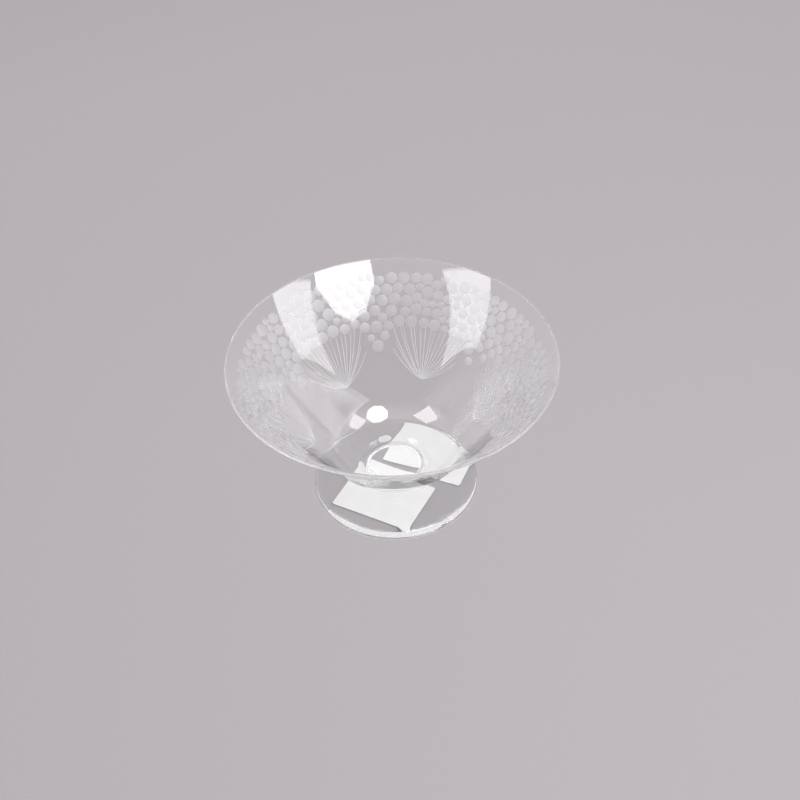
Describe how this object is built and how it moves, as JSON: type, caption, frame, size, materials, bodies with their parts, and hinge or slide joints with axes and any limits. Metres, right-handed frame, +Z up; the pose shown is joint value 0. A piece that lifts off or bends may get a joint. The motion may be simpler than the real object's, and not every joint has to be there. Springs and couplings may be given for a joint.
{
  "type": "footed glass bowl",
  "caption": "Clear glass bowl, flared and thin walled, with engraved umbels of matte dots on its wall, on a short stem and a round foot, with blank paper labels under the foot.",
  "frame": {"origin": "on the bowl's axis, in the plane of the contact ring that the foot stands on", "axes": "+Z up along the bowl's axis; -Y is the front, +X is to the right"},
  "size_m": [0.19, 0.19, 0.099],
  "materials": {
    "engraved_glass": "polished, with matte cut dots and stems",
    "clear_glass": "polished",
    "label_paper": "matte white, blank"
  },
  "bodies": {
    "root": {"bowl": "engraved_glass", "stem": "clear_glass", "foot": "clear_glass", "front_label": "label_paper", "rear_label": "label_paper"}
  },
  "joints": []
}
